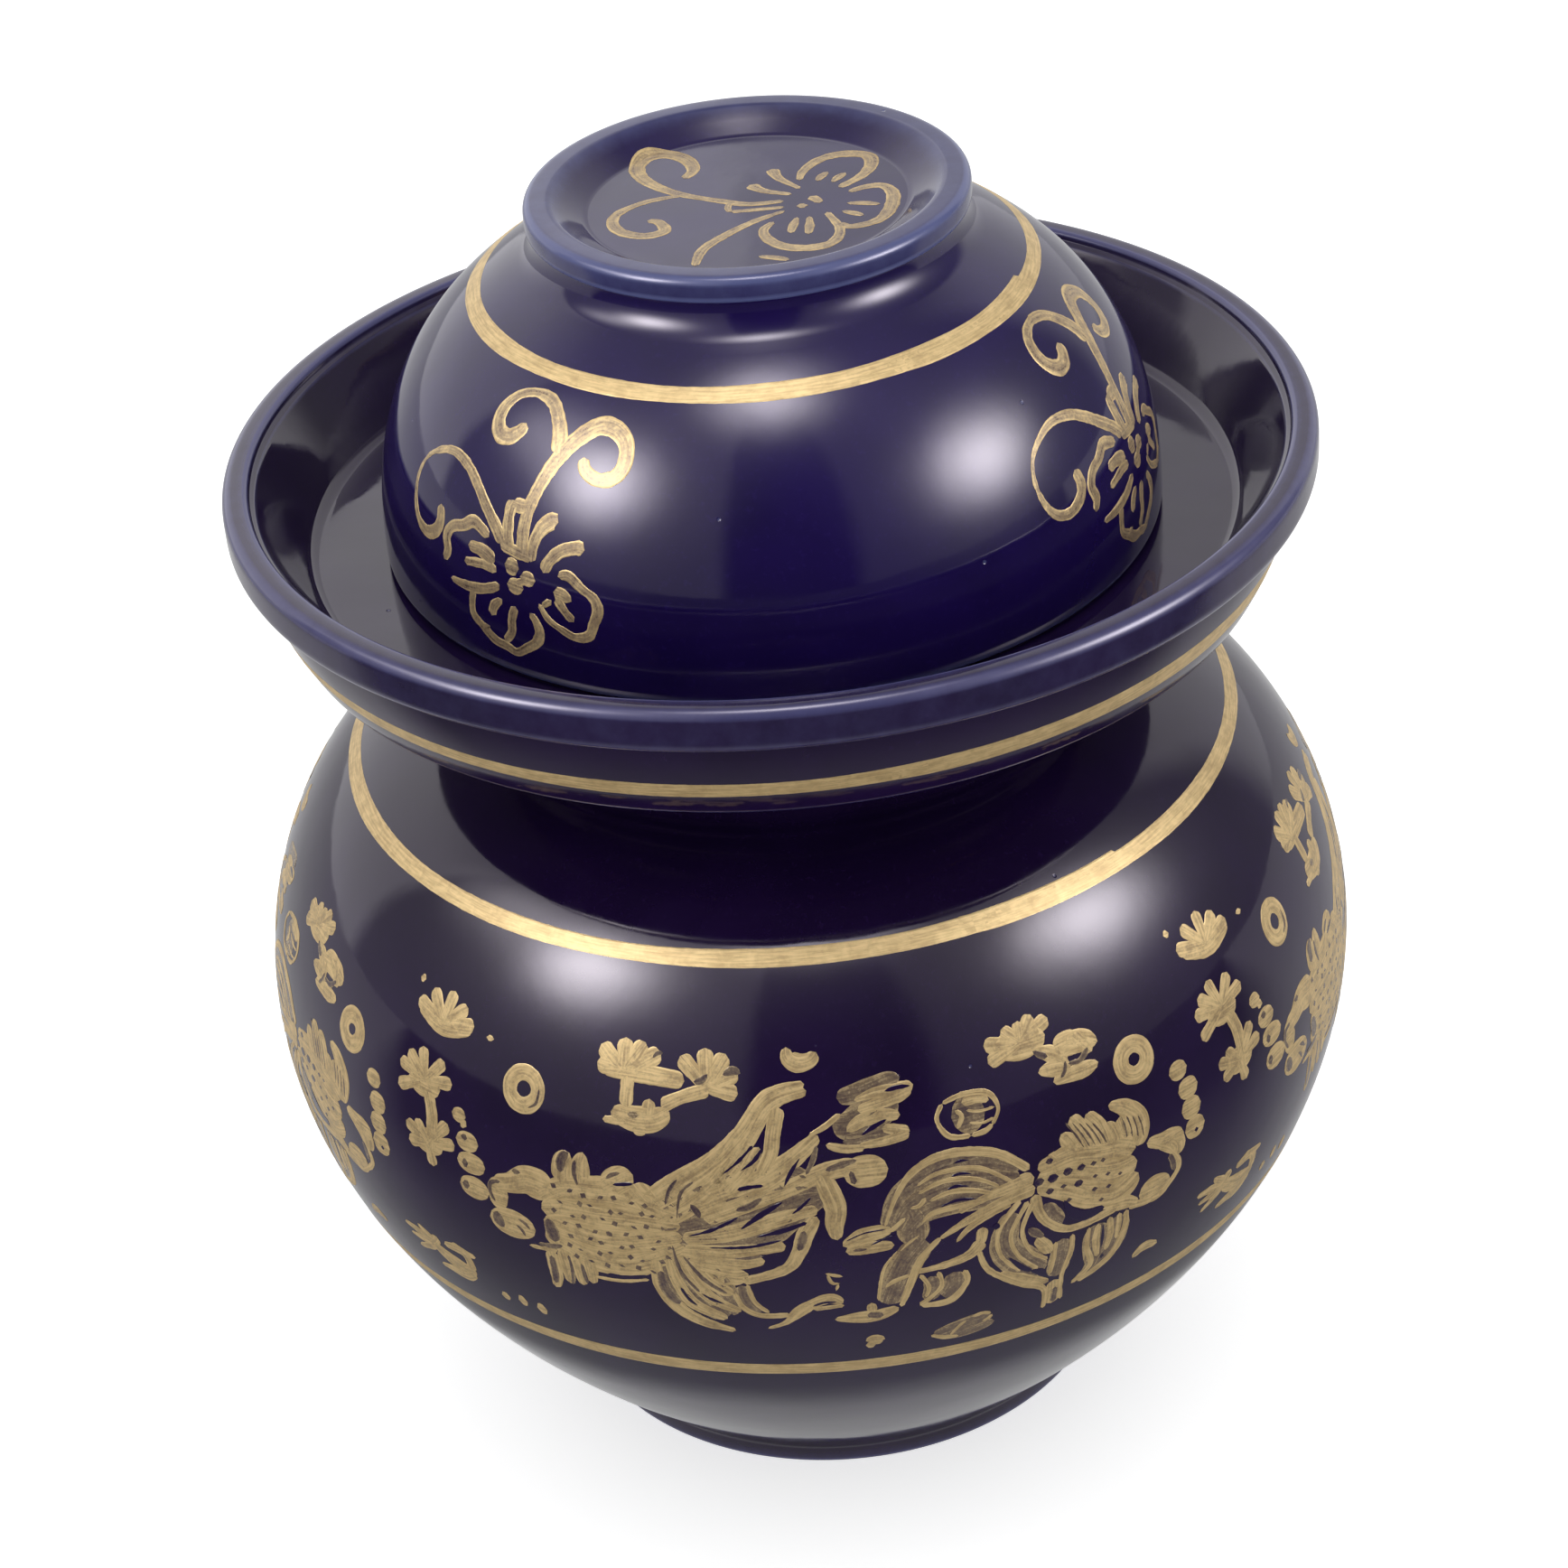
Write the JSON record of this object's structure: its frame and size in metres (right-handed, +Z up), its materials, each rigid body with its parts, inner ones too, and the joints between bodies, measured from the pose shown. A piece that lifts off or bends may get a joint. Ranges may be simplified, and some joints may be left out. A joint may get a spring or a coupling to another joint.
{
  "type": "water seal pickle jar",
  "caption": "Round glazed pickling jar with a water moat round its mouth, an inverted bowl lid that stands in the moat, an inner lid and gold bands.",
  "frame": {"origin": "centre of the foot ring's underside, on the jar's axis", "axes": "+Z up along the jar's axis; -Y is the side that the picture shows, +X to its right"},
  "size_m": [0.199, 0.199, 0.238],
  "materials": {
    "jar_glaze": "glossy dark purple-blue glaze",
    "lid_glaze": "glossy cobalt glaze",
    "inner_glaze": "glossy dark purple-blue glaze",
    "gold": "soft brushed gold lustre"
  },
  "bodies": {
    "jar": {"jar_body": "jar_glaze", "moat_gold_band": "gold", "shoulder_gold_band": "gold", "lower_gold_band": "gold"},
    "bowl": {"bowl_lid": "lid_glaze", "lid_gold_band": "gold"},
    "plate": {"inner_lid": "inner_glaze"}
  },
  "joints": [
    {"name": "bowl_lift", "type": "slide", "parent": "jar", "child": "bowl", "axis": [0, 0, 1], "range_m": [0, 0.12]},
    {"name": "plate_lift", "type": "slide", "parent": "jar", "child": "plate", "axis": [0, 0, 1], "range_m": [0, 0.0065]}
  ]
}
